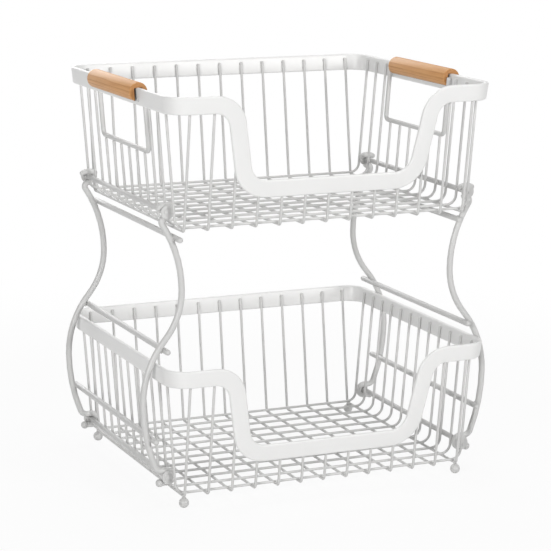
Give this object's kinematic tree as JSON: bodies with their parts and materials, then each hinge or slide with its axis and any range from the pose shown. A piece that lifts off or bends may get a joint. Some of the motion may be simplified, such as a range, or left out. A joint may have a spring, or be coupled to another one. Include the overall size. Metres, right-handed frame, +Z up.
{
  "type": "tiered wire basket",
  "caption": "Tiered wire basket: dipped-front wire baskets with flat rims, one above the other between S-curved side frames, the upper one with wooden grips.",
  "frame": {"origin": "on the table, under the middle of the baskets", "axes": "+X to the right, +Y to the back, away from the dipped fronts, +Z up"},
  "size_m": [0.3946, 0.32, 0.427],
  "materials": {
    "coated_steel": "smooth off-white powder coat",
    "beech": "satin clear varnish"
  },
  "bodies": {
    "lower_basket": {"lower_rim_band": "coated_steel", "lower_long_wires": "coated_steel", "lower_cross_wires": "coated_steel", "lower_left_rail": "coated_steel", "lower_left_rail_discs": "coated_steel", "lower_right_rail": "coated_steel", "lower_right_rail_discs": "coated_steel", "ball_feet": "coated_steel"},
    "upper_basket": {"upper_rim_band": "coated_steel", "upper_long_wires": "coated_steel", "upper_cross_wires": "coated_steel", "upper_left_rail": "coated_steel", "upper_left_rail_discs": "coated_steel", "upper_right_rail": "coated_steel", "upper_right_rail_discs": "coated_steel", "left_hook_fingers": "coated_steel", "left_grip": "beech", "left_grip_bar": "coated_steel", "left_grip_rivets": "coated_steel", "right_hook_fingers": "coated_steel", "right_grip": "beech", "right_grip_bar": "coated_steel", "right_grip_rivets": "coated_steel"},
    "left_frame": {"left_front_upright": "coated_steel", "left_rear_upright": "coated_steel", "left_low_bar": "coated_steel", "left_middle_bar": "coated_steel", "left_top_bar": "coated_steel", "left_tip_balls": "coated_steel"},
    "right_frame": {"right_front_upright": "coated_steel", "right_rear_upright": "coated_steel", "right_low_bar": "coated_steel", "right_middle_bar": "coated_steel", "right_top_bar": "coated_steel", "right_tip_balls": "coated_steel"}
  },
  "joints": [
    {"name": "upper_basket_lift", "type": "slide", "parent": "lower_basket", "child": "upper_basket", "axis": [0, 0, 1], "range_m": [0, 0.25]},
    {"name": "left_frame_fold", "type": "hinge", "parent": "lower_basket", "child": "left_frame", "pos_m": [-0.1688, 0, 0.0303], "axis": [0, -1, 0], "range_deg": [0, 90]},
    {"name": "right_frame_fold", "type": "hinge", "parent": "lower_basket", "child": "right_frame", "pos_m": [0.1688, 0, 0.0303], "axis": [0, 1, 0], "range_deg": [0, 90]}
  ]
}
